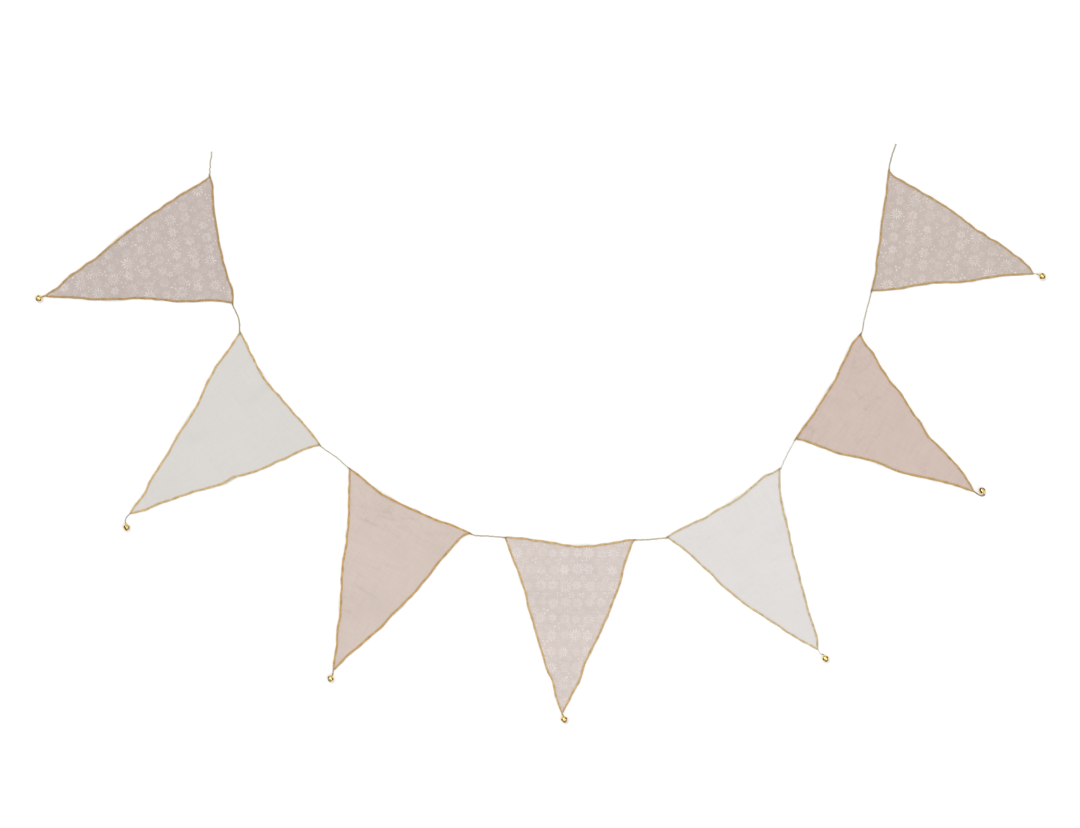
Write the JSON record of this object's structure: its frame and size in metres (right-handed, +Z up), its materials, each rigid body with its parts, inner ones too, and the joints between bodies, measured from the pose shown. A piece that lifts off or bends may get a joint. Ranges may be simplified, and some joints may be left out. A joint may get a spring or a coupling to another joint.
{
  "type": "fabric bunting",
  "caption": "Garland of triangular cotton gauze flags on a thin string, with gold overlocked edges and a jingle bell at each point, laid flat in a wide U.",
  "frame": {"origin": "on the surface that the bunting lies on, under the middle of the box around the flags and bells", "axes": "+X along the garland from the first flag to the last, +Y towards the open side of the U, +Z up from the surface"},
  "size_m": [1.2633, 0.724, 0.009],
  "materials": {
    "gauze_print": "woven cotton gauze with a small white flower print",
    "gauze_cream": "plain woven cotton gauze",
    "gauze_rose": "plain woven cotton gauze",
    "edging_thread": "wrapped polyester thread, slight sheen",
    "string": "twisted cotton",
    "bell_thread": "twisted cotton",
    "bell_brass": "polished"
  },
  "bodies": {
    "root": {"flag_1": "gauze_print", "edge_1_base": "edging_thread", "edge_1_left": "edging_thread", "edge_1_right": "edging_thread", "flag_2": "gauze_cream", "edge_2_base": "edging_thread", "edge_2_left": "edging_thread", "edge_2_right": "edging_thread", "flag_3": "gauze_rose", "edge_3_base": "edging_thread", "edge_3_left": "edging_thread", "edge_3_right": "edging_thread", "flag_4": "gauze_print", "edge_4_base": "edging_thread", "edge_4_left": "edging_thread", "edge_4_right": "edging_thread", "flag_5": "gauze_cream", "edge_5_base": "edging_thread", "edge_5_left": "edging_thread", "edge_5_right": "edging_thread", "flag_6": "gauze_rose", "edge_6_base": "edging_thread", "edge_6_left": "edging_thread", "edge_6_right": "edging_thread", "flag_7": "gauze_print", "edge_7_base": "edging_thread", "edge_7_left": "edging_thread", "edge_7_right": "edging_thread", "tie_start": "string", "string_1_2": "string", "string_2_3": "string", "string_3_4": "string", "string_4_5": "string", "string_5_6": "string", "string_6_7": "string", "tie_end": "string", "bell_1": "bell_brass", "bell_thread_1": "bell_thread", "bell_2": "bell_brass", "bell_thread_2": "bell_thread", "bell_3": "bell_brass", "bell_thread_3": "bell_thread", "bell_4": "bell_brass", "bell_thread_4": "bell_thread", "bell_5": "bell_brass", "bell_thread_5": "bell_thread", "bell_6": "bell_brass", "bell_thread_6": "bell_thread", "bell_7": "bell_brass", "bell_thread_7": "bell_thread"}
  },
  "joints": []
}
